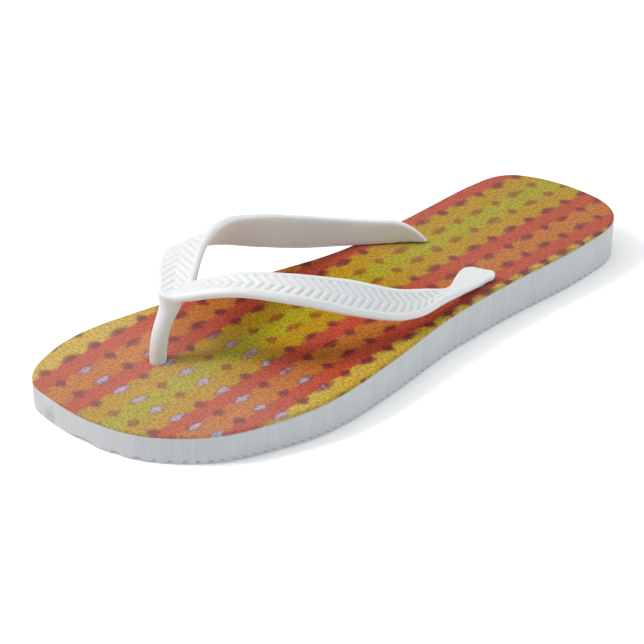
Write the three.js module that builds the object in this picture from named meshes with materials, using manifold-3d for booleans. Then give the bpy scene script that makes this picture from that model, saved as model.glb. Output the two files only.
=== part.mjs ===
// Flip flop, left foot: a foam rubber sole, a printed fabric footbed cover and a moulded
// rubber thong strap whose three plugs pull through holes in the sole.
// Millimetres, +Z up, toe towards -Y, outer (little toe) side towards +X.
// The origin is on the ground, in the middle of the sole's outline box.
// The sole and its cover bend at the ball of the foot, so each is made in two halves that
// meet at the flex line.

import * as THREE from 'three';
import { mergeVertices } from 'three/addons/utils/BufferGeometryUtils.js';
import Module from 'manifold-3d';

const wasm = await Module();
wasm.setup();

// ---------------------------------------------------------------- driving dimensions

// Outline of the sole seen from above, toe first, then back along the outer side.
const OUTLINE = [
  [-26.5, -142.4], [-0.5, -140.3], [23.5, -130.7], [42.9, -110.0], [52.9, -81.5],
  [55.6, -57.5], [51.7, -25.5], [44.0, 14.5], [40.4, 55.5], [38.9, 98.5],
  [33.7, 128.5], [20.0, 140.7], [-0.5, 141.9], [-20.4, 137.1], [-33.6, 126.5],
  [-36.0, 105.5], [-32.2, 61.5], [-30.2, 19.5], [-37.9, -20.5], [-50.4, -70.5],
  [-55.2, -104.5], [-49.9, -127.5], [-40.3, -140.0],
];
const OUTLINE_STEPS = 115;

// Height of the foam's top face along the length: thin at the toe, thicker at the heel.
const FOAM_TOP = [
  [-146, 11.2], [-126, 11.8], [-86, 13.2], [-46, 15.4], [-16, 16.4], [34, 17.4], [146, 18.2],
];
const TOP_STEPS = 24;
// Thickness of the blank that the side view is cut from.
const BLANK_HEIGHT = 25;

const GLUE_LINE = 0.1;
const COVER_THICKNESS = 0.9;

// Ripple tread under the sole, with one smooth land under the arch.
const TREAD_START = -144;
const TREAD_END = 144;
const TREAD_PITCH = 4;
const TREAD_CREST = 2.2;
const TREAD_DEPTH = 1.3;
const TREAD_ROOT = 0.8;
const TREAD_LAND = { x: 2, y: 8, width: 34, length: 46, height: 3 };

// Flex line at the ball of the foot.
const FLEX_Y = -57;
const FLEX_GAP = 0.3;

// Thong strap, in its own frame: the toe plug is at its origin and the strap's centre line
// runs back along +Y, turned a little towards the outer side of the sole.
const STRAP_ORIGIN = [-15.5, -94.7];
const STRAP_TURN = THREE.MathUtils.degToRad(-9);
const CLEARANCE = 0.3;
const POST_RADIUS = 3.6;
const STEM_RADIUS = 3.4;
const STEM_TOP = 20;
const POCKET_RADIUS = 8.1;

// Half of a plug's side view, as radius and height.
const PLUG_PROFILE = [[0, 1.5], [6.7, 1.5], [7.5, 2.3], [7.5, 3.7], [6.0, 4.3], [0, 4.3]];
const PLUG_TOP = 4.3;

// The post goes straight up through the sole, then leans back and widens into the fork.
const POST_PATH = [
  [0, 2.5], [0, 8], [0, 13.5], [0.8, 21.8], [2.3, 28], [4.4, 33], [6.8, 38.5], [8.2, 43.5],
];
const POST_HALF_WIDTHS = [3.6, 3.6, 3.6, 3.55, 3.5, 3.6, 4.3, 5.8];
const POST_HALF_DEPTHS = [3.6, 3.6, 3.6, 3.6, 3.6, 3.8, 4.8, 6.6];
const POST_STATIONS = 22;
const POST_SIDES = 24;

// One arm's centre line from the fork to its tip: sideways, back, up.
const ARM_PATH = [
  [0, 8.4, 42.3], [18.1, 26.6, 49.9], [29.6, 47.3, 47.1], [34.4, 70.5, 38.7], [37.3, 93.9, 30.0],
  [33.6, 117.1, 25.4],
];
const ARM_THICKNESSES = [4.4, 4.2, 4.4, 4.4, 4.2, 3.6, 3.0];

// The outer arm ends in a tongue that lies nearly flat, the inner arm's tongue stands on its
// edge. The reach of the outer and inner edges from the centre line, and the tilt in degrees,
// are given as (part of the arm's length, value). The tip narrows from its inner edge, and its
// outer corner is rounded off over the last few millimetres.
const ARMS = [
  {
    side: 1,
    end: [23.2, 147.8, 21.6],
    hole: [24.9, 143.6],
    tip: 4.2,
    tipPower: 2.4,
    taper: 12.5,
    corner: 4,
    foot: { height: 20.15, radii: [4.6, 4.6, 1.4] },
    outer: [
      [0, 5.8], [0.08, 6.0], [0.17, 6.4], [0.33, 7.1], [0.5, 7.8], [0.67, 7.7], [0.75, 6.9],
      [0.8, 5.6], [0.835, 4.8], [0.87, 4.6], [0.91, 5.0], [0.95, 5.6], [1, 5.8],
    ],
    inner: [
      [0, 6.0], [0.08, 6.1], [0.17, 6.3], [0.33, 7.1], [0.5, 7.5], [0.6, 6.8], [0.67, 6.0],
      [0.75, 5.0], [0.8, 3.9], [0.835, 2.2], [0.872, 0.6], [0.895, 2.0], [0.92, 4.1], [0.95, 6.2],
      [1, 7.2],
    ],
    tilts: [
      [0, 0], [0.17, 13], [0.33, 27], [0.5, 47], [0.67, 49], [0.75, 46], [0.8, 40], [0.835, 32],
      [0.87, 22], [0.9, 16], [0.94, 14], [1, 13],
    ],
  },
  {
    side: -1,
    end: [20.6, 140.1, 25.0],
    hole: [25.6, 140.1],
    tip: 8,
    tipPower: 2,
    taper: 17,
    corner: 0,
    foot: { height: 20.9, radii: [5, 5, 2.2] },
    outer: [
      [0, 6.8], [0.05, 9.0], [0.1, 10.6], [0.16, 10.6], [0.24, 9.6], [0.33, 8.3], [0.5, 7.8],
      [0.67, 7.7], [0.83, 6.8], [1, 6.0],
    ],
    inner: [
      [0, 7.6], [0.17, 7.6], [0.33, 7.4], [0.5, 7.8], [0.67, 7.7], [0.83, 6.0], [1, 5.2],
    ],
    tilts: [
      [0, 0], [0.12, 9], [0.2, 26], [0.28, 45], [0.36, 62], [0.5, 82], [0.67, 89], [0.83, 95],
      [1, 82],
    ],
  },
];
const CORNER_CUT = 0.45;
const THIN_TIP = 3;
const TIP_THINNING = 0.8;
const NOSE_LENGTH = 3.5;

// A flattened pad that thickens the fork over the post. Each tongue has a pad over its stem.
const NOSE_PAD = { centre: [0, 9.2, 42], radii: [6.4, 6.2, 2.6], lean: 14 };
const ARM_STATIONS = 44;
const SECTION_STEPS = 16;
const TIP_STATIONS = 5;
// A ring can't shrink to nothing, so each rounded end stops just short of its apex.
const END_LIMIT = 0.97;

// ---------------------------------------------------------------- materials

const foam = new THREE.MeshStandardMaterial({ color: 0xe6e8ea, roughness: 0.85, metalness: 0 });
const print = new THREE.MeshStandardMaterial({ color: 0xd2772f, roughness: 0.9, metalness: 0 });
const rubber = new THREE.MeshStandardMaterial({ color: 0xf2f2f0, roughness: 0.45, metalness: 0 });

// ---------------------------------------------------------------- solids

// Turns a closed BufferGeometry into a solid that can be joined and cut.
function solid(geometry) {
  geometry.deleteAttribute('normal');
  geometry.deleteAttribute('uv');
  const merged = mergeVertices(geometry, 1e-4);
  return new wasm.Manifold(new wasm.Mesh({
    numProp: 3,
    vertProperties: new Float32Array(merged.attributes.position.array),
    triVerts: new Uint32Array(merged.index.array),
  }));
}

function geometryOf(body) {
  const data = body.getMesh();
  const geometry = new THREE.BufferGeometry();
  geometry.setAttribute('position', new THREE.BufferAttribute(new Float32Array(data.vertProperties), 3));
  geometry.setIndex(new THREE.BufferAttribute(new Uint32Array(data.triVerts), 1));
  geometry.computeVertexNormals();
  return geometry;
}

function box(x0, x1, y0, y1, z0, z1) {
  const geometry = new THREE.BoxGeometry(x1 - x0, y1 - y0, z1 - z0);
  geometry.translate((x0 + x1) / 2, (y0 + y1) / 2, (z0 + z1) / 2);
  return solid(geometry);
}

function cylinder([x, y], radius, z0, z1, sides = 32) {
  const geometry = new THREE.CylinderGeometry(radius, radius, z1 - z0, sides);
  geometry.rotateX(Math.PI / 2);
  geometry.translate(x, y, (z0 + z1) / 2);
  return solid(geometry);
}

// Skins a row of rings, each the same number of points, and closes both ends with a fan.
function loft(rings) {
  const count = rings[0].length;
  const points = rings.flat();
  const index = [];
  for (let i = 0; i + 1 < rings.length; i += 1) {
    for (let j = 0; j < count; j += 1) {
      const a = i * count + j;
      const b = i * count + (j + 1) % count;
      index.push(a, b + count, b, a, a + count, b + count);
    }
  }
  for (const [ring, first] of [[rings[0], true], [rings.at(-1), false]]) {
    const centre = ring.reduce((sum, p) => sum.add(p), new THREE.Vector3()).divideScalar(count);
    const start = first ? 0 : (rings.length - 1) * count;
    points.push(centre);
    for (let j = 0; j < count; j += 1) {
      const a = start + j;
      const b = start + (j + 1) % count;
      index.push(...(first ? [a, b] : [b, a]), points.length - 1);
    }
  }
  const geometry = new THREE.BufferGeometry().setFromPoints(points);
  geometry.setIndex(index);
  return solid(geometry);
}

// Value at t on the straight lines through (t, value) pairs.
function valueAt(pairs, t) {
  const next = Math.max(pairs.findIndex(([at]) => at >= t), 1);
  const [t0, v0] = pairs[next - 1];
  const [t1, v1] = pairs[next];
  return v0 + ((v1 - v0) * (t - t0)) / (t1 - t0);
}

// Value at t from 0 to 1 on a smooth curve through evenly spaced numbers.
function curveAt(values, t) {
  const points = values.map((v) => new THREE.Vector3(v, 0, 0));
  return new THREE.CatmullRomCurve3(points, false, 'catmullrom', 0.5).getPoint(t).x;
}

function ellipsoid([x, y, z], radii, lean) {
  const geometry = new THREE.SphereGeometry(1, 24, 12);
  geometry.scale(...radii);
  geometry.rotateX(THREE.MathUtils.degToRad(lean));
  geometry.translate(x, y, z);
  return solid(geometry);
}

// ---------------------------------------------------------------- sole and cover

const outlineCurve = new THREE.CatmullRomCurve3(
  OUTLINE.map(([x, y]) => new THREE.Vector3(x, y, 0)), true, 'catmullrom', 0.5,
);

function outlinePrism(height) {
  const points = outlineCurve.getPoints(OUTLINE_STEPS).slice(0, -1);
  const shape = new THREE.Shape(points.map((p) => new THREE.Vector2(p.x, p.y)));
  return solid(new THREE.ExtrudeGeometry(shape, { depth: height, bevelEnabled: false }));
}

// Extrudes a side view, drawn as (y, z) points, right across the sole.
function sideProfile(points) {
  const halfWidth = 70;
  const shape = new THREE.Shape(points.map(([y, z]) => new THREE.Vector2(y, z)));
  const geometry = new THREE.ExtrudeGeometry(shape, { depth: 2 * halfWidth, bevelEnabled: false });
  geometry.translate(0, 0, -halfWidth);
  geometry.rotateY(Math.PI / 2);
  geometry.rotateX(Math.PI / 2);
  return solid(geometry);
}

const topCurve = new THREE.SplineCurve(FOAM_TOP.map(([y, z]) => new THREE.Vector2(y, z)));
const topLine = topCurve.getPoints(TOP_STEPS).map((p) => [p.x, p.y]);

function treadLine() {
  const points = [];
  for (let y = TREAD_START; y < TREAD_END; y += TREAD_PITCH) {
    const slope = (TREAD_PITCH - TREAD_CREST - TREAD_ROOT) / 2;
    points.push([y, 0], [y + TREAD_CREST, 0]);
    points.push([y + TREAD_CREST + slope, TREAD_DEPTH], [y + TREAD_PITCH - slope, TREAD_DEPTH]);
  }
  return points;
}

function soleFoam() {
  const profile = [...treadLine(), [TREAD_END + 1, 0], ...topLine.toReversed()];
  const body = outlinePrism(BLANK_HEIGHT).intersect(sideProfile(profile));
  const { x, y, width, length, height } = TREAD_LAND;
  return body.add(box(x - width / 2, x + width / 2, y - length / 2, y + length / 2, 0, height));
}

function fabricCover() {
  const low = topLine.map(([y, z]) => [y, z + GLUE_LINE]);
  const high = topLine.map(([y, z]) => [y, z + GLUE_LINE + COVER_THICKNESS]);
  return outlinePrism(BLANK_HEIGHT).intersect(sideProfile([...low, ...high.toReversed()]));
}

// ---------------------------------------------------------------- thong strap

const strapTurn = new THREE.Matrix4().makeRotationZ(STRAP_TURN);
strapTurn.setPosition(STRAP_ORIGIN[0], STRAP_ORIGIN[1], 0);

function onSole([x, y]) {
  const p = new THREE.Vector3(x, y, 0).applyMatrix4(strapTurn);
  return [p.x, p.y];
}

// A ring of the arm's section: a flat oval across the width and the thickness.
function armSection(centre, across, out, width, thickness) {
  const ring = [];
  for (let k = 0; k < SECTION_STEPS; k += 1) {
    const angle = (2 * Math.PI * k) / SECTION_STEPS;
    const c = Math.cos(angle);
    const s = Math.sin(angle);
    const flat = (c ** 4 + s ** 4) ** -0.25;
    const point = centre.clone().addScaledVector(across, (c * flat * width) / 2);
    ring.push(point.addScaledVector(out, (s * flat * thickness) / 2));
  }
  return ring;
}

// Directions on an arm at t: along it, across it towards its outer edge, and out of its face.
function armDirections(curve, side, tilts, t) {
  const along = curve.getTangent(t);
  const outward = new THREE.Vector3(along.y, -along.x, 0).normalize().multiplyScalar(side);
  const normal = new THREE.Vector3().crossVectors(outward, along).multiplyScalar(side);
  const tilt = THREE.MathUtils.degToRad(valueAt(tilts, t));
  const across = outward.clone().multiplyScalar(Math.cos(tilt));
  across.addScaledVector(normal, -Math.sin(tilt));
  const out = normal.clone().multiplyScalar(Math.cos(tilt));
  out.addScaledVector(outward, Math.sin(tilt));
  return { along, across, out };
}

// Places of an arm's sections: t on its curve and the distance beyond either end of it.
function armPlaces(tip) {
  const places = [];
  for (let k = TIP_STATIONS; k > 0; k -= 1) {
    places.push([0, -NOSE_LENGTH * Math.min(k / TIP_STATIONS, END_LIMIT)]);
  }
  for (let k = 0; k <= ARM_STATIONS; k += 1) {
    places.push([k / ARM_STATIONS, 0]);
  }
  for (let k = 1; k <= TIP_STATIONS; k += 1) {
    places.push([1, (tip * k) / TIP_STATIONS]);
  }
  return places;
}

function strapArm({ side, end, tip, tipPower, taper, corner, outer, inner, tilts }) {
  const path = [...ARM_PATH, end].map(([x, y, z]) => new THREE.Vector3(side * x, y, z));
  const curve = new THREE.CatmullRomCurve3(path, false, 'catmullrom', 0.5);
  const sections = armPlaces(tip).map(([t, beyond]) => {
    const directions = armDirections(curve, side, tilts, t);
    const level = directions.along.clone().setZ(beyond > 0 ? 0 : directions.along.z).normalize();
    const centre = curve.getPoint(t).addScaledVector(level, beyond);
    return { t, beyond, centre, ...directions };
  });
  let left = 0;
  for (let k = sections.length - 1; k >= 0; k -= 1) {
    const next = sections[k + 1] ?? sections[k];
    left += sections[k].centre.distanceTo(next.centre);
    sections[k].left = left;
  }
  return loft(sections.map(({ t, beyond, centre, across, out, left: toTip }) => {
    const start = beyond < 0 ? Math.sqrt(1 - (beyond / NOSE_LENGTH) ** 2) : 1;
    const closing = THREE.MathUtils.clamp(1 - toTip / taper, 0, END_LIMIT);
    const cut = corner > 0 ? THREE.MathUtils.clamp(1 - toTip / corner, 0, 1) : 0;
    const far = valueAt(outer, t) * start * (1 - CORNER_CUT * cut ** 2);
    const full = far + valueAt(inner, t) * start;
    const width = full * (1 - closing ** tipPower);
    const middle = centre.clone().addScaledVector(across, far - width / 2);
    const thinned = THREE.MathUtils.clamp(1 - toTip / THIN_TIP, 0, 1);
    const thickness = curveAt(ARM_THICKNESSES, t) * Math.sqrt(1 - TIP_THINNING * thinned ** 2);
    return armSection(middle, across.clone().multiplyScalar(side), out, width, thickness);
  }));
}

function toePost() {
  const points = POST_PATH.map(([y, z]) => new THREE.Vector3(0, y, z));
  const curve = new THREE.CatmullRomCurve3(points, false, 'catmullrom', 0.5);
  const rings = [];
  for (let i = 0; i <= POST_STATIONS; i += 1) {
    const t = i / POST_STATIONS;
    const centre = curve.getPoint(t);
    const along = curve.getTangent(t);
    const halfWidth = curveAt(POST_HALF_WIDTHS, t);
    const halfDepth = curveAt(POST_HALF_DEPTHS, t);
    const ring = [];
    for (let k = 0; k < POST_SIDES; k += 1) {
      const angle = (2 * Math.PI * k) / POST_SIDES;
      const depth = halfDepth * Math.sin(angle);
      const x = halfWidth * Math.cos(angle);
      ring.push(new THREE.Vector3(x, centre.y - depth * along.z, centre.z + depth * along.y));
    }
    rings.push(ring);
  }
  return loft(rings);
}

function plugDisc([x, y]) {
  const geometry = new THREE.LatheGeometry(PLUG_PROFILE.map(([r, z]) => new THREE.Vector2(r, z)), 32);
  geometry.rotateX(Math.PI / 2);
  geometry.translate(x, y, 0);
  return solid(geometry);
}

function thongStrap() {
  let body = toePost().add(plugDisc([0, 0]));
  body = body.add(ellipsoid(NOSE_PAD.centre, NOSE_PAD.radii, NOSE_PAD.lean));
  for (const arm of ARMS) {
    const foot = [arm.side * arm.hole[0], arm.hole[1]];
    body = body.add(strapArm(arm)).add(plugDisc(foot));
    body = body.add(cylinder(foot, STEM_RADIUS, PLUG_TOP - 1, STEM_TOP, 24));
    body = body.add(ellipsoid([...foot, arm.foot.height], arm.foot.radii, 0));
  }
  return body;
}

// ---------------------------------------------------------------- holes and halves

// The cutting tools run past the sole on every side.
const TOOL_LOW = -5;
const TOOL_HIGH = 40;
const TOOL_HALF_WIDTH = 80;
const TOOL_HALF_LENGTH = 160;

const plugPlaces = [[0, 0], ...ARMS.map(({ side, hole }) => [side * hole[0], hole[1]])].map(onSole);
const holeRadius = POST_RADIUS + CLEARANCE;
const pocketTop = PLUG_TOP + CLEARANCE;

function cutterAtPlugs(radius, top) {
  return plugPlaces.map((place) => cylinder(place, radius, TOOL_LOW, top)).reduce((a, b) => a.add(b));
}

function slab(y0, y1) {
  return box(-TOOL_HALF_WIDTH, TOOL_HALF_WIDTH, y0, y1, TOOL_LOW, TOOL_HIGH);
}

const holes = cutterAtPlugs(holeRadius, TOOL_HIGH);
const pockets = cutterAtPlugs(POCKET_RADIUS, pocketTop);
const ahead = slab(-TOOL_HALF_LENGTH, FLEX_Y - FLEX_GAP / 2);
const behind = slab(FLEX_Y + FLEX_GAP / 2, TOOL_HALF_LENGTH);

const sole = soleFoam().subtract(holes).subtract(pockets);
const cover = fabricCover().subtract(holes);

function addMesh(group, name, body, material) {
  const mesh = new THREE.Mesh(geometryOf(body), material);
  mesh.name = name;
  group.add(mesh);
  return mesh;
}

const flipFlop = new THREE.Group();
addMesh(flipFlop, 'sole_forefoot', sole.intersect(ahead), foam);
addMesh(flipFlop, 'sole_rearfoot', sole.intersect(behind), foam);
addMesh(flipFlop, 'footbed_cover_forefoot', cover.intersect(ahead), print);
addMesh(flipFlop, 'footbed_cover_rearfoot', cover.intersect(behind), print);

const strapGroup = new THREE.Group();
strapGroup.position.set(STRAP_ORIGIN[0], STRAP_ORIGIN[1], 0);
strapGroup.rotation.z = STRAP_TURN;
addMesh(strapGroup, 'thong_strap', thongStrap(), rubber);
flipFlop.add(strapGroup);

export default flipFlop;
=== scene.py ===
"""Flip flop, left foot: foam sole, printed fabric cover and moulded rubber thong strap, on a pale floor.

Metres. +Z is up, the toe is towards -Y and the outer side of the foot is towards +X.
"""
import math

import bmesh
import bpy
import numpy as np
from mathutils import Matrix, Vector


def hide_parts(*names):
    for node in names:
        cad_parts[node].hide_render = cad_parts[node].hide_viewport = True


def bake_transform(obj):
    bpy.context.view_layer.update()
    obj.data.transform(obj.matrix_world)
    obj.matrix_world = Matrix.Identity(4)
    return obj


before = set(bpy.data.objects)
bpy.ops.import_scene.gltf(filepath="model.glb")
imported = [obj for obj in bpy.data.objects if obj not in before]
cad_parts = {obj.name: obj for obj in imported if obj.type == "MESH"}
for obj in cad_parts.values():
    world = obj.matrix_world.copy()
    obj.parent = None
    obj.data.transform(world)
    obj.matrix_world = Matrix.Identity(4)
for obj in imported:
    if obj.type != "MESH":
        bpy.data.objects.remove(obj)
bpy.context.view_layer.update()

MM = 0.001
rng = np.random.default_rng(7)

# ------------------------------------------------------------------ dimensions, in millimetres

# The sole's outline seen from above, toe first, then back along the outer side.
OUTLINE = [
    (-26.5, -142.4), (-0.5, -140.3), (23.5, -130.7), (42.9, -110.0), (52.9, -81.5),
    (55.6, -57.5), (51.7, -25.5), (44.0, 14.5), (40.4, 55.5), (38.9, 98.5),
    (33.7, 128.5), (20.0, 140.7), (-0.5, 141.9), (-20.4, 137.1), (-33.6, 126.5),
    (-36.0, 105.5), (-32.2, 61.5), (-30.2, 19.5), (-37.9, -20.5), (-50.4, -70.5),
    (-55.2, -104.5), (-49.9, -127.5), (-40.3, -140.0),
]
FOAM_TOP = [
    (-146, 11.2), (-126, 11.8), (-86, 13.2), (-46, 15.4), (-16, 16.4), (34, 17.4), (146, 18.2),
]
COVER_GAP = 0.03
COVER_THICKNESS = 0.97
TREAD_START = -144.0
TREAD_PITCH = 4.0
TREAD_DEPTH = 1.3
CREST_SAG = 0.22
LAND = dict(x=2.0, y=8.0, width=34.0, length=46.0)
LAND_EDGE = 0.8
HOLE_RADIUS = 3.9
POCKET_RADIUS = 8.1
POCKET_TOP = 4.6
DRILL_BOTTOM = -5.0
DRILL_TOP = 30.0

# The thong strap, in its own frame: toe plug at the origin, centre line back along +Y.
STRAP_ORIGIN = (-15.5, -94.7)
STRAP_TURN = math.radians(-9)
POST_PATH = [(0, 2.5), (0, 8), (0, 13.5), (0.8, 21.8), (2.3, 28), (4.4, 33), (6.8, 38.5), (8.2, 43.5)]
POST_HALF_WIDTH = [3.6, 3.6, 3.6, 3.55, 3.5, 3.6, 4.3, 5.8]
POST_HALF_DEPTH = [3.6, 3.6, 3.6, 3.6, 3.6, 3.8, 4.8, 6.6]
ARM_PATH = [
    (0, 8.4, 42.3), (18.1, 26.6, 49.9), (29.6, 47.3, 47.1), (34.4, 70.5, 38.7), (37.3, 93.9, 30.0),
    (33.6, 117.1, 25.4),
]
ARM_THICKNESSES = [4.4, 4.2, 4.4, 4.4, 4.2, 3.6, 3.0]
# How far the outer and the inner edge are from the centre line, and the tilt in degrees, are
# given as (part of the arm's length, value).
ARMS = [
    dict(
        side=1, end=(23.2, 147.8, 21.6), hole=(24.9, 143.6), foot=(4.6, 4.6, 1.4), foot_height=20.15,
        tip=4.2, tip_power=2.4, taper=12.5, corner=4.0,
        outer=[
            (0, 5.8), (0.08, 6.0), (0.17, 6.4), (0.33, 7.1), (0.5, 7.8), (0.67, 7.7), (0.75, 6.9),
            (0.80, 5.6), (0.835, 4.8), (0.87, 4.6), (0.91, 5.0), (0.95, 5.6), (1, 5.8),
        ],
        inner=[
            (0, 6.0), (0.08, 6.1), (0.17, 6.3), (0.33, 7.1), (0.5, 7.5), (0.6, 6.8), (0.67, 6.0),
            (0.75, 5.0), (0.80, 3.9), (0.835, 2.2), (0.872, 0.2), (0.895, 2.0), (0.92, 4.1),
            (0.95, 6.2), (1, 7.2),
        ],
        tilts=[
            (0, 0), (0.17, 13), (0.33, 27), (0.5, 47), (0.67, 49), (0.75, 46), (0.80, 40),
            (0.835, 32), (0.87, 22), (0.90, 16), (0.94, 14), (1, 13),
        ],
        rib_phase=0.2,
    ),
    dict(
        side=-1, end=(20.6, 140.1, 25.0), hole=(25.6, 140.1), foot=(5.0, 5.0, 2.2), foot_height=20.9,
        tip=8.0, tip_power=2.0, taper=17.0, corner=0.0,
        outer=[
            (0, 6.8), (0.05, 9.0), (0.10, 10.6), (0.16, 10.6), (0.24, 9.6), (0.33, 8.3), (0.5, 7.8),
            (0.67, 7.7), (0.83, 6.8), (1, 6.0),
        ],
        inner=[(0, 7.6), (0.17, 7.6), (0.33, 7.4), (0.5, 7.8), (0.67, 7.7), (0.83, 6.0), (1, 5.2)],
        tilts=[
            (0, 0), (0.12, 9), (0.20, 26), (0.28, 45), (0.36, 62), (0.5, 82), (0.67, 89), (0.83, 95),
            (1, 82),
        ],
        rib_phase=0.55,
    ),
]
CORNER_CUT = 0.45
THIN_TIP = 3.0
TIP_THINNING = 0.8
NOSE_LENGTH = 3.5
NOSE_PAD = ((0, 9.2, 42.0), (6.4, 6.2, 2.6), 14)
PLUG_PROFILE = [(6.7, 1.5), (7.5, 2.3), (7.5, 3.7), (6.0, 4.3)]
STEM = dict(radius=3.4, low=3.3, high=20)
SECTION_SIDES = 48
# A rounded end stops just short of its apex, so that its last section isn't a single point.
APEX = 0.985
SKIN_VOXEL = 0.38

# The chevron panel between the raised borders of the arms' outer faces.
OUTER_BORDER = 3.0
INNER_BORDER = 2.5
BEAD_WIDTH = 0.9
BEAD_HEIGHT = 0.25
RIB_PITCH = 4.0
RIB_SLOPE = 0.9
RIB_MIDDLE = 0.2
RIB_HEIGHT = 0.50
PANEL_DEPTH = 0.45
NEAR_PANEL_START = (11.0, 17.0)
NEAR_PANEL_END = (36.0, 42.0)
FAR_PANEL_START = (2.0, 3.6)
FAR_PANEL_END = (20.0, 26.0)
FORK_LENGTH = 30.0


# ------------------------------------------------------------------ curves and noise

def catmull_rom(a, b, c, d, u):
    """A point between b and c on a uniform Catmull-Rom curve, with u from 0 to 1."""
    slope = (c - a) * u
    bend = (2 * a - 5 * b + 4 * c - d) * u ** 2
    twist = (3 * b - a - 3 * c + d) * u ** 3
    return 0.5 * (2 * b + slope + bend + twist)


def spline(points, t):
    """A curve through points, with t from 0 to 1."""
    p = np.asarray(points, float)
    if p.ndim == 1:
        p = p[:, None]
    n = len(p)
    ends = np.vstack([2 * p[0] - p[1], p, 2 * p[-1] - p[-2]])
    t = np.clip(np.asarray(t, float), 0, 1) * (n - 1)
    i = np.minimum(t.astype(int), n - 2)
    return catmull_rom(ends[i], ends[i + 1], ends[i + 2], ends[i + 3], (t - i)[:, None])


def eased(t, pairs):
    """Value at t on a line through (t, value) pairs, with its corners rounded off."""
    fine = np.linspace(-0.2, 1.2, 1401)
    at, value = np.array(pairs, float).T
    line = np.interp(fine, at, value)
    first_slope = (value[1] - value[0]) / (at[1] - at[0])
    line[fine < 0] = value[0] + (fine[fine < 0] - at[0]) * first_slope
    reach, spread = 60, 16
    kernel = np.exp(-0.5 * (np.arange(-reach, reach + 1) / spread) ** 2)
    rounded = np.convolve(np.pad(line, reach, "edge"), kernel / kernel.sum(), "valid")
    return np.interp(t, fine, rounded)


def closed_spline(points, steps):
    """A closed curve through points, with the same number of steps between neighbours."""
    p = np.asarray(points, float)
    n = len(p)
    t = np.arange(n * steps) / steps
    i = t.astype(int)
    return catmull_rom(p[i - 1], p[i], p[(i + 1) % n], p[(i + 2) % n], (t - i)[:, None])


def smooth(x, low, high):
    t = np.clip((x - low) / (high - low), 0, 1)
    return t * t * (3 - 2 * t)


def noise(x, scale):
    """Smooth noise from -1 to 1 along one coordinate, with bumps about scale apart."""
    values = rng.uniform(-1, 1, 4000)
    x = np.asarray(x) / scale + 1000
    i = np.floor(x).astype(int)
    f = x - i
    f = f * f * (3 - 2 * f)
    return values[i] * (1 - f) + values[i + 1] * f


# ------------------------------------------------------------------ mesh helpers

def make_object(name, points, faces):
    mesh = bpy.data.meshes.new(name)
    mesh.from_pydata((np.asarray(points) * MM).tolist(), [], [list(map(int, f)) for f in faces])
    mesh.validate()
    obj = bpy.data.objects.new(name, mesh)
    bpy.context.scene.collection.objects.link(obj)
    return obj


def loft(rings):
    """Faces and points that skin a row of rings and close both ends."""
    rings = np.asarray(rings)
    rows, count = rings.shape[:2]
    j = np.arange(count)
    faces = []
    for i in range(rows - 1):
        a, b = i * count + j, i * count + (j + 1) % count
        faces += np.stack([a, b, b + count, a + count], 1).tolist()
    faces.append(list(range(count))[::-1])
    faces.append([(rows - 1) * count + k for k in range(count)])
    return rings.reshape(-1, 3), faces


def merged(parts):
    points, faces, start = [], [], 0
    for p, f in parts:
        points.append(p)
        faces += [[i + start for i in face] for face in f]
        start += len(p)
    return np.vstack(points), faces


def outward(obj):
    """Makes every closed shell's faces look outward."""
    bm = bmesh.new()
    bm.from_mesh(obj.data)
    bmesh.ops.recalc_face_normals(bm, faces=bm.faces)
    bm.to_mesh(obj.data)
    bm.free()


def apply_modifiers(obj):
    graph = bpy.context.evaluated_depsgraph_get()
    mesh = bpy.data.meshes.new_from_object(obj.evaluated_get(graph))
    obj.modifiers.clear()
    old, obj.data = obj.data, mesh
    bpy.data.meshes.remove(old)
    mesh.name = obj.name


def coordinates(obj):
    co = np.empty(len(obj.data.vertices) * 3)
    obj.data.vertices.foreach_get("co", co)
    return co.reshape(-1, 3) / MM


def set_coordinates(obj, co):
    obj.data.vertices.foreach_set("co", (co * MM).ravel())
    obj.data.update()


def normals(obj):
    n = np.empty(len(obj.data.vertices) * 3)
    obj.data.vertex_normals.foreach_get("vector", n)
    return n.reshape(-1, 3)


def edge_array(obj):
    e = np.empty(len(obj.data.edges) * 2, np.int32)
    obj.data.edges.foreach_get("vertices", e)
    return e.reshape(-1, 2)


def relax(co, edges, weight, rounds):
    """Moves each point part of the way to the mean of its neighbours."""
    n = len(co)
    i, j = edges.T
    degree = np.bincount(i, minlength=n) + np.bincount(j, minlength=n)
    for _ in range(rounds):
        sums = [np.bincount(i, co[j, k], n) + np.bincount(j, co[i, k], n) for k in range(3)]
        total = np.stack(sums, 1)
        co = co + (total / np.maximum(degree, 1)[:, None] - co) * weight
    return co


def store(obj, name, values):
    """Keeps one vector for each vertex, so that a material stays put when the piece bends."""
    layer = obj.data.attributes.new(name, "FLOAT_VECTOR", "POINT")
    layer.data.foreach_set("vector", np.asarray(values, np.float32).ravel())


def shade_smooth(obj):
    obj.data.polygons.foreach_set("use_smooth", [True] * len(obj.data.polygons))


def on_sole(points):
    """From the strap's frame to the row frame."""
    c, s = math.cos(STRAP_TURN), math.sin(STRAP_TURN)
    p = np.asarray(points, float)
    x = c * p[..., 0] - s * p[..., 1] + STRAP_ORIGIN[0]
    y = s * p[..., 0] + c * p[..., 1] + STRAP_ORIGIN[1]
    return np.stack([x, y, *np.moveaxis(p[..., 2:], -1, 0)], -1)


# ------------------------------------------------------------------ the sole's outline

outline = closed_spline(OUTLINE, 60)
toe, heel = outline[:, 1].argmin(), outline[:, 1].argmax()
outer = np.roll(outline, -toe, axis=0)[: (heel - toe) % len(outline) + 1]
inner = np.roll(outline, -heel, axis=0)[: (toe - heel) % len(outline) + 1][::-1]


def walked(side):
    """Distance along one side of the outline from the toe."""
    return np.concatenate([[0], np.cumsum(np.linalg.norm(np.diff(side, axis=0), axis=1))])


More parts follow.
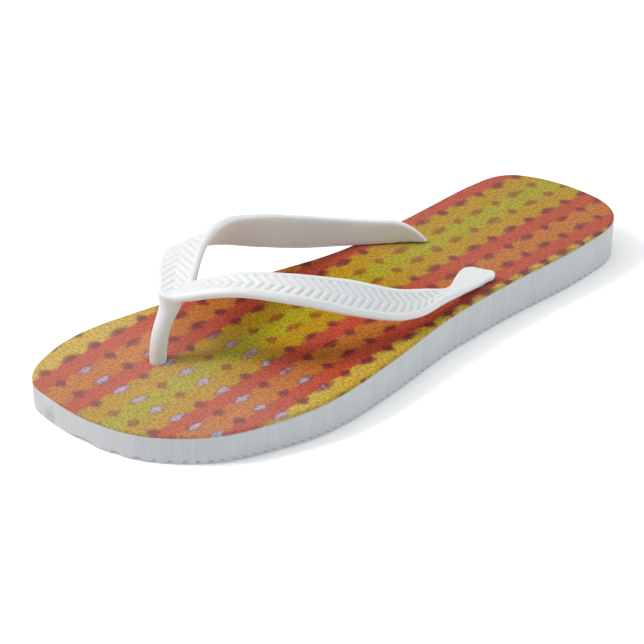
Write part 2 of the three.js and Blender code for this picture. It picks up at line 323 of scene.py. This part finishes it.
def stations(step):
    """Places along Y that put points about step apart on both sides of the outline."""
    places = []
    for side in (outer, inner):
        d = walked(side)
        places.append(np.interp(np.linspace(0, d[-1], int(d[-1] / step)), d, side[:, 1]))
    y = np.sort(np.concatenate(places))
    keep = [y[0] + 0.02]
    for value in y:
        near_tip = min(value - y[0], y[-1] - value)
        if value - keep[-1] > min(0.42, 0.03 + 0.05 * near_tip):
            keep.append(value)
    keep[-1] = y[-1] - 0.02
    return np.array(keep)


station_y = stations(0.6)
left_x = np.interp(station_y, inner[:, 1], inner[:, 0])
right_x = np.interp(station_y, outer[:, 1], outer[:, 0])
following = np.roll(outline, -1, axis=0)
outline_area = 0.5 * abs(np.sum(outline[:, 0] * following[:, 1] - outline[:, 1] * following[:, 0]))
top_points = spline(FOAM_TOP, np.linspace(0, 1, 400))


def foam_top(y):
    return np.interp(y, top_points[:, 0], top_points[:, 1])


def side_normal(side, y):
    """Outward direction of the outline on one side, at each y."""
    d = np.gradient(side, axis=0)
    n = np.stack([d[:, 1], -d[:, 0]], 1)
    n /= np.linalg.norm(n, axis=1)[:, None]
    n = n if side is outer else -n
    return np.stack([np.interp(y, side[:, 1], n[:, k]) for k in (0, 1)], 1)


# ------------------------------------------------------------------ sole

def ripple(y):
    """Height of the tread above the ground: rounded crests with narrow notches between them."""
    f = ((y - TREAD_START) / TREAD_PITCH + 0.225) % 1
    away = np.abs(f - 0.5)
    return TREAD_DEPTH * smooth(away, 0.22, 0.44) + CREST_SAG * np.minimum(away / 0.3, 1) ** 2


def build_sole():
    walls = {}
    wobble = {}
    for key, side in (("right", outer), ("left", inner)):
        d = np.interp(station_y, side[:, 1], walked(side))
        walls[key] = (side_normal(side, station_y), d)
        fine = 0.05 * noise(d, 0.9) + 0.06 * noise(d, 2.3)
        coarse = 0.16 * noise(d, 9.0)
        edge = 0.35 * noise(d, 14.0)
        wobble[key] = (fine, coarse, edge)
    bottom = ripple(station_y)
    top = foam_top(station_y)
    # Each level's inset, then its height: in millimetres above the tread for the first three,
    # and above those as a part of what is left of the wall.
    levels = [(0.45, 0.0), (0.12, 0.12), (0.0, 0.45)]
    levels += [(0.0, part) for part in (0.09, 0.2, 0.35, 0.5, 0.65, 0.8, 0.92, 0.985)]
    levels += [(0.12, 1.0)]
    across = 64
    rings = []
    columns = {}
    for key, base in (("right", right_x), ("left", left_x)):
        normal, d = walls[key]
        fine, coarse, edge = wobble[key]
        column = []
        for k, (inset, part) in enumerate(levels):
            if k < 3:
                z = bottom + part + 0.10 * edge
                share = 0.0
            else:
                z = bottom + 0.45 + (top - bottom - 0.45) * part
                share = part
            push = fine + coarse * np.sin(math.pi * (0.15 + 0.7 * share)) - inset
            tip = np.minimum(station_y - station_y[0], station_y[-1] - station_y)
            push = push * smooth(tip, 0.0, 0.6)
            x = base + normal[:, 0] * push
            y = station_y + normal[:, 1] * push
            column.append(np.stack([x, y, np.maximum(z, 0.0)], 1))
        columns[key] = column
    fractions = np.linspace(0, 1, across)[1:-1]
    low_r, low_l = columns["right"][0], columns["left"][0]
    high_r, high_l = columns["right"][-1], columns["left"][-1]
    for i in range(len(station_y)):
        ring = [c[i] for c in columns["right"]]
        ring += [high_r[i] * (1 - f) + high_l[i] * f for f in fractions]
        ring += [c[i] for c in reversed(columns["left"])]
        for f in fractions:
            p = low_l[i] * (1 - f) + low_r[i] * f
            land = smooth(LAND["width"] / 2 - abs(p[0] - LAND["x"]), -LAND_EDGE, LAND_EDGE)
            land *= smooth(LAND["length"] / 2 - abs(p[1] - LAND["y"]), -LAND_EDGE, LAND_EDGE)
            p[2] = bottom[i] * (1 - land)
            ring.append(p)
        rings.append(ring)
    obj = make_object("foam_sole", *loft(rings))
    outward(obj)
    return obj


def circle(centre, radius, z, sides):
    a = np.arange(sides) * 2 * math.pi / sides
    x = centre[0] + radius * np.cos(a)
    y = centre[1] + radius * np.sin(a)
    return np.stack([x, y, np.full(sides, z)], 1)


def cylinder(centre, radius, low, high, sides=64):
    return loft([circle(centre, radius, z, sides) for z in (low, high)])


plug_places = on_sole([(0, 0)] + [(arm["side"] * arm["hole"][0], arm["hole"][1]) for arm in ARMS])


def drill(obj, with_pockets):
    """Cuts the three plug holes, and the pockets under them as well if asked."""
    sizes = [(HOLE_RADIUS, DRILL_TOP)]
    if with_pockets:
        sizes.append((POCKET_RADIUS, POCKET_TOP))
    for radius, top in sizes:
        parts = [cylinder(p, radius, DRILL_BOTTOM, top) for p in plug_places]
        cutter = make_object("cutter", *merged(parts))
        outward(cutter)
        mod = obj.modifiers.new("drill", "BOOLEAN")
        mod.operation = "DIFFERENCE"
        mod.solver = "EXACT"
        mod.object = cutter
        apply_modifiers(obj)
        bpy.data.objects.remove(cutter)


# ------------------------------------------------------------------ fabric cover

def build_cover():
    low = foam_top(station_y) + COVER_GAP
    high = low + COVER_THICKNESS
    across = 40
    fractions = np.linspace(0, 1, across)
    rings = []
    fray = {"right": 0.05 * noise(station_y, 0.8), "left": 0.05 * noise(station_y, 0.8)}
    nr, nl = side_normal(outer, station_y), side_normal(inner, station_y)
    for i, y in enumerate(station_y):
        r = np.array([right_x[i], y]) + nr[i] * (fray["right"][i] - 0.02)
        l = np.array([left_x[i], y]) + nl[i] * (fray["left"][i] - 0.02)
        ring = []
        for f in fractions:
            ring.append((*(r * (1 - f) + l * f), high[i] - (0.12 if f in (0, 1) else 0.0)))
        for f in fractions:
            ring.append((*(l * (1 - f) + r * f), low[i]))
        rings.append(ring)
    obj = make_object("fabric_cover", *loft(rings))
    outward(obj)
    return obj


# ------------------------------------------------------------------ thong strap

def arm_frames(arm, t):
    """Centre, and the directions along, across towards the outer edge and out of the ribbed face."""
    side = arm["side"]
    path = np.array(ARM_PATH + [arm["end"]], float) * (side, 1, 1)
    centre = spline(path, t)
    d = 1e-4
    along = spline(path, np.minimum(t + d, 1)) - spline(path, np.maximum(t - d, 0))
    along /= np.linalg.norm(along, axis=1)[:, None]
    level = side * np.cross(along, (0, 0, 1.0))
    level /= np.linalg.norm(level, axis=1)[:, None]
    normal = side * np.cross(level, along)
    tilt = np.radians(eased(t, arm["tilts"]))[:, None]
    c, s = np.cos(tilt), np.sin(tilt)
    return centre, along, c * level - s * normal, c * normal + s * level


def arm_stations(arm, middle=240, ends=24):
    """The arm's sections from nose to tip.

    Gives each one's centre, directions along, across and out, width, thickness, distance along
    the arm, and distance to the tip.
    """
    u = np.linspace(0, 1, ends + 1)[1:]
    t = np.concatenate([np.zeros(ends), np.linspace(0, 1, middle), np.ones(ends)])
    beyond = np.concatenate([-NOSE_LENGTH * np.sin(u[::-1] * 1.5), np.zeros(middle), arm["tip"] * u])
    centre, along, across, out = arm_frames(arm, t)
    level = along.copy()
    level[-ends:, 2] = 0
    level /= np.linalg.norm(level, axis=1)[:, None]
    centre = centre + level * beyond[:, None]
    distance = np.concatenate([[0], np.cumsum(np.linalg.norm(np.diff(centre, axis=0), axis=1))])
    distance -= distance[ends]
    left = distance[-1] - distance
    start = np.sqrt(1 - np.clip(-distance / NOSE_LENGTH, 0, APEX) ** 2)
    taper = 1 - np.clip(1 - left / arm["taper"], 0, APEX) ** arm["tip_power"]
    far, near = eased(t, arm["outer"]) * start, eased(t, arm["inner"]) * start
    if arm["corner"]:
        far = far * (1 - CORNER_CUT * np.clip(1 - left / arm["corner"], 0, 1) ** 2)
    near = (far + near) * taper - far
    centre = centre + across * ((far - near) / 2)[:, None]
    thinned = np.clip(1 - left / THIN_TIP, 0, 1)
    thickness = spline(ARM_THICKNESSES, t)[:, 0] * np.sqrt(1 - TIP_THINNING * thinned ** 2)
    return centre, along, across, out, far + near, thickness, distance, left


section_angles = np.arange(SECTION_SIDES) * 2 * math.pi / SECTION_SIDES


def arm_body(arm):
    centre, _, across, out, width, thickness, _, _ = arm_stations(arm)
    c, s = np.cos(section_angles), np.sin(section_angles)
    flat = (c ** 4 + s ** 4) ** -0.25
    rings = centre[:, None] + across[:, None] * (c * flat)[None, :, None] * (width / 2)[:, None, None] \
        + out[:, None] * (s * flat)[None, :, None] * (thickness / 2)[:, None, None]
    return loft(rings)


def pad_body(centre, radii, lean):
    """A flattened ball, leaning forwards by an angle in degrees."""
    rows = np.linspace(-APEX, APEX, 25)
    c, s = math.cos(math.radians(lean)), math.sin(math.radians(lean))
    rings = []
    for h in rows:
        r = (1 - h ** 2) ** 0.5
        x = radii[0] * r * np.cos(section_angles)
        y = radii[1] * r * np.sin(section_angles)
        z = np.full(SECTION_SIDES, radii[2] * h)
        rings.append(np.stack([centre[0] + x, centre[1] + y * c - z * s, centre[2] + y * s + z * c], 1))
    return loft(rings)


def post_body():
    t = np.linspace(0, 1, 80)
    path = spline(POST_PATH, t)
    d = np.gradient(path, axis=0)
    d /= np.linalg.norm(d, axis=1)[:, None]
    wide = spline(POST_HALF_WIDTH, t)[:, 0]
    deep = spline(POST_HALF_DEPTH, t)[:, 0]
    c, s = np.cos(section_angles), np.sin(section_angles)
    rings = []
    for (y, z), (dy, dz), w, h in zip(path, d, wide, deep):
        rings.append(np.stack([w * c, y + h * s * dz, z - h * s * dy], 1))
    return loft(rings)


def plug_body(place):
    return loft([circle(place, r, z, SECTION_SIDES) for r, z in PLUG_PROFILE])


def build_strap():
    parts = [post_body(), plug_body((0, 0)), pad_body(*NOSE_PAD)]
    for arm in ARMS:
        foot = (arm["side"] * arm["hole"][0], arm["hole"][1])
        parts.append(arm_body(arm))
        parts.append(plug_body(foot))
        parts.append(cylinder(foot, STEM["radius"], STEM["low"], STEM["high"], SECTION_SIDES))
        parts.append(pad_body((*foot, arm["foot_height"]), arm["foot"], 0))
    obj = make_object("rubber_thong_strap", *merged(parts))
    outward(obj)
    mod = obj.modifiers.new("one skin", "REMESH")
    mod.mode = "VOXEL"
    mod.voxel_size = SKIN_VOXEL * MM
    apply_modifiers(obj)
    return obj


def arm_coordinates(arm, co):
    """Where each point is on an arm.

    Gives the distances along it, across it towards its outer edge and out of its ribbed face,
    the direction out, half the arm's width there, what is left of its length, and how far the
    point is from the centre line.
    """
    centre, along, across, out, width, _, distance, left = arm_stations(arm)
    best = np.full(len(co), np.inf)
    nearest = np.zeros(len(co), int)
    for k in range(0, len(centre), 2):
        gap = ((co - centre[k]) ** 2).sum(1)
        closer = gap < best
        best[closer] = gap[closer]
        nearest[closer] = k
    d = co - centre[nearest]
    s = distance[nearest] + (d * along[nearest]).sum(1)
    return (s, (d * across[nearest]).sum(1), (d * out[nearest]).sum(1), out[nearest], width[nearest] / 2,
            left[nearest], np.sqrt(best))


def across_fork(co):
    """Distance towards the far arm's side of the line that parts the two arms at the fork."""
    return 3.4 - 0.17 * co[:, 1] - co[:, 0]


def raise_ribs(co, normal):
    """Raised borders and a sunk panel of chevron ribs on the outer face of both arms."""
    lift = np.zeros(len(co))
    direction = np.zeros_like(co)
    near, far = (arm_coordinates(arm, co) for arm in ARMS)
    at_fork = (near[0] < FORK_LENGTH) & (far[0] < FORK_LENGTH)
    on_near = np.where(at_fork, across_fork(co) < 0, near[-1] < far[-1])
    for arm, data, mine in ((ARMS[0], near, on_near), (ARMS[1], far, ~on_near)):
        s, u, h, out, half, left, _ = data
        facing = smooth((normal * out).sum(1), 0.55, 0.85) * (h > -0.5) * mine
        edge = np.minimum(half - u - OUTER_BORDER, half + u - INNER_BORDER)
        panel = smooth(edge, -0.35, 0.45)
        if arm["side"] > 0:
            panel = panel * smooth(s, *NEAR_PANEL_START) * smooth(left, *NEAR_PANEL_END)
        else:
            panel = panel * smooth(left, *FAR_PANEL_END) * smooth(across_fork(co), 0.0, 1.2)
            panel = panel * smooth(co[:, 1], *FAR_PANEL_START)
        phase = (s + RIB_SLOPE * np.abs(u - RIB_MIDDLE)) / RIB_PITCH + arm["rib_phase"]
        rib = 1 - smooth(np.abs(phase % 1 - 0.5), 0.18, 0.40)
        bead = smooth(edge, -OUTER_BORDER, -BEAD_WIDTH) * (1 - smooth(edge, -BEAD_WIDTH, 0.0)) * BEAD_HEIGHT
        amount = panel * (RIB_HEIGHT * rib - PANEL_DEPTH) + bead
        lift += facing * amount
        direction += out * (facing * mine)[:, None]
    return direction * lift[:, None], lift


def corners_to_soften(co):
    """About 1 in the fork and where each stem meets its tongue, and 0 elsewhere."""
    amount = np.exp(-((co[:, 0] / 13) ** 2 + ((co[:, 1] - 7) / 11) ** 2 + ((co[:, 2] - 41) / 8) ** 2))
    stems = 0
    for arm in ARMS:
        x, y = arm["side"] * arm["hole"][0], arm["hole"][1]
        off_axis = ((co[:, 0] - x) ** 2 + (co[:, 1] - y) ** 2) / 50
        stems = stems + np.exp(-off_axis - ((co[:, 2] - 20.6) / 2.4) ** 4)
    return amount + stems


def finish_strap(obj):
    """Softens the inside corners, raises the ribs and sets the strap on the sole."""
    co = coordinates(obj)
    edges = edge_array(obj)
    co = relax(co, edges, 0.5, 3)
    soften = smooth(corners_to_soften(co), 0.25, 0.7)
    co = relax(co, edges, (0.6 * soften)[:, None], 34)
    set_coordinates(obj, co)
    move, relief = raise_ribs(co, normals(obj))
    co = relax(co + move, edges, 0.25, 1)
    set_coordinates(obj, on_sole(co))
    store(obj, "relief", np.stack([relief, relief, relief], 1))


strap = build_strap()
finish_strap(strap)
shade_smooth(strap)

sole = build_sole()
drill(sole, True)
shade_smooth(sole)
cover = build_cover()
drill(cover, False)
shade_smooth(cover)

# ------------------------------------------------------------------ materials


class Number:
    """A value in a material's node tree, with arithmetic that adds Math nodes."""

    def __init__(self, tree, socket):
        self.tree, self.socket = tree, socket

    def math(self, operation, *others):
        node = self.tree.nodes.new("ShaderNodeMath")
        node.operation = operation
        for slot, value in zip(node.inputs, (self, *others)):
            if isinstance(value, Number):
                self.tree.links.new(value.socket, slot)
            else:
                slot.default_value = value
        return Number(self.tree, node.outputs[0])

    def __add__(self, other):
        return self.math("ADD", other)

    def __sub__(self, other):
        return self.math("SUBTRACT", other)

    def __mul__(self, other):
        return self.math("MULTIPLY", other)

    def __truediv__(self, other):
        return self.math("DIVIDE", other)

    def __abs__(self):
        return self.math("ABSOLUTE")

    def step(self, low, high):
        """0 at low and 1 at high, with a smooth change between them."""
        node = self.tree.nodes.new("ShaderNodeMapRange")
        node.interpolation_type = "SMOOTHSTEP"
        node.inputs["From Min"].default_value = min(low, high)
        node.inputs["From Max"].default_value = max(low, high)
        if low > high:
            node.inputs["To Min"].default_value = 1
            node.inputs["To Max"].default_value = 0
        self.tree.links.new(self.socket, node.inputs["Value"])
        return Number(self.tree, node.outputs["Result"])


class Material:
    """A material being built from nodes, on the vectors that store() kept."""

    def __init__(self, name, roughness, **settings):
        self.data = bpy.data.materials.new(name)
        self.data.use_nodes = True
        self.tree = self.data.node_tree
        self.shader = self.tree.nodes["Principled BSDF"]
        self.shader.inputs["Roughness"].default_value = roughness
        for key, value in settings.items():
            self.shader.inputs[key.replace("_", " ")].default_value = value

    def link(self, source, target):
        self.tree.links.new(source.socket if isinstance(source, Number) else source, target)

    def vector(self, name):
        node = self.tree.nodes.new("ShaderNodeAttribute")
        node.attribute_name = name
        return node.outputs["Vector"]

    def parts(self, vector):
        node = self.tree.nodes.new("ShaderNodeSeparateXYZ")
        self.link(vector, node.inputs[0])
        return [Number(self.tree, output) for output in node.outputs]

    def joined(self, *values):
        node = self.tree.nodes.new("ShaderNodeCombineXYZ")
        for value, slot in zip(values, node.inputs):
            if isinstance(value, Number):
                self.link(value, slot)
            else:
                slot.default_value = value
        return node.outputs[0]

    def noise(self, vector, scale, detail=2.0, roughness=0.5):
        node = self.tree.nodes.new("ShaderNodeTexNoise")
        node.inputs["Scale"].default_value = scale
        node.inputs["Detail"].default_value = detail
        node.inputs["Roughness"].default_value = roughness
        self.link(vector, node.inputs["Vector"])
        return Number(self.tree, node.outputs["Fac"])

    def cells(self, vector, scale, randomness=1.0):
        node = self.tree.nodes.new("ShaderNodeTexVoronoi")
        node.inputs["Scale"].default_value = scale
        node.inputs["Randomness"].default_value = randomness
        self.link(vector, node.inputs["Vector"])
        return Number(self.tree, node.outputs["Distance"])

    def ramp(self, value, stops):
        node = self.tree.nodes.new("ShaderNodeValToRGB")
        ramp = node.color_ramp
        while len(ramp.elements) < len(stops):
            ramp.elements.new(0.5)
        for element, (place, colour) in zip(ramp.elements, stops):
            element.position = place
            element.color = (*colour, 1)
        self.link(value, node.inputs["Fac"])
        return node.outputs["Color"]

    def mix(self, factor, first, second, kind="MIX"):
        node = self.tree.nodes.new("ShaderNodeMix")
        node.data_type = "RGBA"
        node.blend_type = kind
        # A Mix node's colour sockets A and B are its inputs 6 and 7.
        for value, slot in ((factor, node.inputs[0]), (first, node.inputs[6]), (second, node.inputs[7])):
            if isinstance(value, tuple):
                slot.default_value = (*value, 1)
            elif isinstance(value, (int, float)):
                slot.default_value = value
            else:
                self.link(value, slot)
        return node.outputs[2]

    def grey(self, value):
        return self.joined(value, value, value)

    def bump(self, height, distance, strength=1.0):
        node = self.tree.nodes.new("ShaderNodeBump")
        node.inputs["Distance"].default_value = distance * MM
        node.inputs["Strength"].default_value = strength
        self.link(height, node.inputs["Height"])
        self.link(node.outputs[0], self.shader.inputs["Normal"])

    def colour(self, source):
        self.link(source, self.shader.inputs["Base Color"])


def print_places(co):
    """The print's own coordinates, in which its dots lie at whole numbers along and across.

    The small terms are the skew and the stretch of the fabric as it is glued down.
    """
    x, y = co[:, 0], co[:, 1]
    column = 9.013 - 3.01e-3 * x + 7.711e-2 * y + 4.35e-5 * x * y - 9.65e-5 * x * x + 6.05e-6 * y * y
    row = 4.847 + 9.370e-2 * x + 7.117e-3 * y - 7.5e-7 * x * y + 7.90e-5 * x * x - 1.325e-5 * y * y
    return np.stack([column, row, np.zeros(len(co))], 1)


def printed_knit():
    m = Material("printed_knit", 0.85, Specular_IOR_Level=0.12)
    rest = m.vector("rest")
    x, y, _ = m.parts(rest)
    column, row, _ = m.parts(m.vector("print"))
    ragged = (m.noise(rest, 0.9, 3.0, 0.7) - 0.5) * 3
    soft = (m.noise(rest, 0.25, 2.0) - 0.5) * 3
    column = column + soft * 0.07
    row = row + ragged * 0.11 + soft * 0.05

    # Stripes: the same on both sides of the lime one, with scalloped edges between the dots.
    from_lime = abs(row - 4.5)
    between = abs((column * math.pi).math("SINE"))
    turn = (from_lime * math.pi).math("SINE") * (from_lime.step(0.98, 1.02) * 2 - 1)
    stripe = from_lime + turn * (between - 0.45) * 0.22
    lime, ochre, red = (0.39, 0.315, 0.008), (0.45, 0.25, 0.008), (0.47, 0.070, 0.032)
    orange, yellow = (0.50, 0.155, 0.025), (0.54, 0.355, 0.045)
    stops = [(0.0, lime)]
    order = (lime, ochre, red, orange, red, yellow)
    for k, (first, second) in enumerate(zip(order, order[1:])):
        place = k + 0.5
        blur = 0.11 if first is lime else 0.06
        stops += [((place - blur) / 6, first), ((place + blur) / 6, second)]
    colour = m.ramp(stripe / 6, stops)

    # Dots where a column meets a stripe's edge: wide ones and upright ones by turns.
    nearest = column.math("ROUND")
    odd = abs((nearest * 0.5).math("FRACT")).step(0.2, 0.3)
    du = abs(column - nearest)
    dv = abs(row - row.math("ROUND"))
    wide = (du / 0.41).math("POWER", 1.25) + (dv / 0.25).math("POWER", 1.25)
    upright = (du / 0.22).math("POWER", 1.4) + (dv / 0.29).math("POWER", 1.4)
    reach = wide + (upright - wide) * odd + ragged * 0.20 + soft * 0.25
    dot = reach.step(1.35, 0.35)
    outer_part = from_lime.step(1.1, 1.4)
    dark = m.mix(outer_part, (0.25, 0.075, 0.012), (0.17, 0.022, 0.030))
    colour = m.mix(dot * 0.82, colour, dark)
    # Towards the toe the ground behind the wide dots shows as pale lavender.
    forward = (y + soft * 20).step(-52, -72)
    lavender = reach.step(0.95, 0.30) * forward * (odd * -1 + 1) * (x - (y + 62) * 0.4).step(-16, -4)
    colour = m.mix(lavender * 0.9, colour, (0.44, 0.36, 0.48))

    # The knit: short slanting loops, with shade between them and a little uneven dye.
    loop = m.noise(m.joined(x * 0.55 + y * 0.10, y * 1.25 - x * 0.20, 0.0), 1.0, 1.0)
    fine = m.noise(rest, 1.6, 2.0, 0.7)
    weave = loop.step(0.36, 0.62) + (fine - 0.5) * 0.9
    shade = weave * 0.42 + 0.66 + soft * 0.05
    colour = m.mix(1.0, colour, m.grey(shade), "MULTIPLY")
    # The dye has worn paler towards the toe and the heel.
    # Painted sheen: a pale, slightly warm veil is painted over the print towards the toe and the heel,
    # where the fabric catches the light.
    painted_sheen = y.step(-45, -100) * 0.085 + y.step(0, 55) * 0.045
    colour = m.mix(painted_sheen, colour, (1.0, 0.97, 0.90))
    m.colour(colour)
    m.bump(weave, 0.16, 0.8)
    return m.data


def cut_foam():
    m = Material("cut_foam", 0.82, Specular_IOR_Level=0.3)
    rest, wall = m.vector("rest"), m.vector("wall")
    along, height, is_wall = m.parts(wall)
    streaks = m.noise(m.joined(along, height * 0.06, 0.0), 0.9, 4.0, 0.7)
    coarse = m.noise(m.joined(along, height * 0.15, 7.0), 0.16, 2.0)
    pores = m.cells(rest, 1.6)
    speck = m.noise(rest, 1.3, 4.0, 0.7)
    mark = (streaks - 0.5) * is_wall
    shade = mark * 0.22 + (coarse - 0.5) * 0.10 + (speck - 0.5) * 0.10 + 0.98
    colour = m.mix(1.0, (0.56, 0.57, 0.585), m.grey(shade), "MULTIPLY")
    # Thin vertical marks on the wall are painted darker and bluer: painted shade inside fine slits in the
    # cut foam.
    cut = m.noise(m.joined(along, height * 0.10, 31.0), 0.55, 1.0).step(0.735, 0.775) * is_wall
    colour = m.mix(cut * 0.35, colour, (0.45, 0.47, 0.52))
    m.colour(colour)
    m.bump(mark * 1.6 + (speck - 0.5) * 0.5 - pores.step(0.25, 0.1) * 0.25, 0.22, 0.7)
    return m.data


def moulded_rubber():
    m = Material("moulded_rubber", 0.42, Specular_IOR_Level=0.45, Subsurface_Weight=0.08,
                 Subsurface_Scale=0.002)
    rest = m.vector("rest")
    relief, _, _ = m.parts(m.vector("relief"))
    fine = m.noise(rest, 3.0, 3.0, 0.6)
    broad = m.noise(rest, 0.12, 2.0)
    # The grooves of the sunk chevron panel are painted up to 6% darker than the rib crests and borders:
    # painted shade in the recess.
    shade = relief.step(-0.45, 0.05) * 0.06 + 0.935 + (broad - 0.5) * 0.04 + (fine - 0.5) * 0.03
    m.colour(m.mix(1.0, (0.76, 0.765, 0.765), m.grey(shade), "MULTIPLY"))
    m.link(broad * 0.14 + fine * 0.10 + 0.32, m.shader.inputs["Roughness"])
    m.bump(fine, 0.03, 0.6)
    return m.data


def pale_floor():
    m = Material("pale_floor", 0.9, Emission_Color=(1, 1, 1, 1), Emission_Strength=0.15)
    m.shader.inputs["Base Color"].default_value = (0.93, 0.93, 0.93, 1)
    return m.data


def wall_places(co):
    """Distance round the outline, height, and 1 (the same for every point), for each of the sole's points.
    """
    middle = (np.interp(co[:, 1], station_y, left_x) + np.interp(co[:, 1], station_y, right_x)) / 2
    on_outer = co[:, 0] > middle
    along = np.where(on_outer, np.interp(co[:, 1], outer[:, 1], walked(outer)),
                     -np.interp(co[:, 1], inner[:, 1], walked(inner)))
    return np.stack([along, co[:, 2], np.ones(len(co))], 1)


store(strap, "rest", coordinates(strap))
for piece in (sole, cover):
    store(piece, "rest", coordinates(piece))
store(sole, "wall", wall_places(coordinates(sole)))
store(cover, "print", print_places(coordinates(cover)))
strap.data.materials.append(moulded_rubber())
sole.data.materials.append(cut_foam())
cover.data.materials.append(printed_knit())

# ------------------------------------------------------------------ bodies

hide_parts("sole_forefoot", "sole_rearfoot")
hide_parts("footbed_cover_forefoot", "footbed_cover_rearfoot")
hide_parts("thong_strap")
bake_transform(sole)
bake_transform(cover)
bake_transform(strap)

# ------------------------------------------------------------------ floor, light and camera

FLOOR_HALF = 3000
floor_corners = [(x * FLOOR_HALF, y * FLOOR_HALF, 0) for x, y in ((-1, -1), (1, -1), (1, 1), (-1, 1))]
floor = make_object("floor", floor_corners, [(0, 1, 2, 3)])
floor.data.materials.append(pale_floor())
floor.location.z = -0.0002


def area_light(name, place, target, size, power, colour=(1, 1, 1)):
    light = bpy.data.lights.new(name, "AREA")
    light.shape = "RECTANGLE"
    light.size, light.size_y = size
    light.energy = power
    light.color = colour
    obj = bpy.data.objects.new(name, light)
    obj.location = place
    obj.rotation_mode = "QUATERNION"
    obj.rotation_quaternion = (Vector(target) - Vector(place)).to_track_quat("-Z", "Y")
    bpy.context.scene.collection.objects.link(obj)


world = bpy.data.worlds.new("studio")
world.use_nodes = True
world.node_tree.nodes["Background"].inputs["Color"].default_value = (1, 1, 1, 1)
world.node_tree.nodes["Background"].inputs["Strength"].default_value = 0.38
bpy.context.scene.world = world
area_light("overhead", (-0.30, -0.30, 1.30), (0, 0, 0.02), (1.2, 1.2), 8)
area_light("key", (-0.62, -0.80, 1.15), (0, -0.03, 0.02), (0.30, 0.30), 11)
# A cool light from the side takes away the warmth that the footbed throws on the strap.
area_light("side_fill", (1.30, 0.30, 0.40), (0, 0, 0.03), (0.9, 0.5), 3.0, (0.70, 0.91, 1.0))
area_light("heel_fill", (0.25, 1.30, 0.55), (0, 0.1, 0.02), (0.6, 0.4), 4)
bpy.context.scene.view_settings.view_transform = "Standard"

camera = bpy.data.objects.new("camera", bpy.data.cameras.new("camera"))
camera.data.sensor_width = 36
camera.data.lens = 111.8
camera.location = (0.5515, -0.5082, 0.4436)
camera.rotation_mode = "QUATERNION"
camera.rotation_quaternion = Vector((-0.6443, 0.5721, -0.5075)).to_track_quat("-Z", "Y")
bpy.context.scene.collection.objects.link(camera)
bpy.context.scene.camera = camera
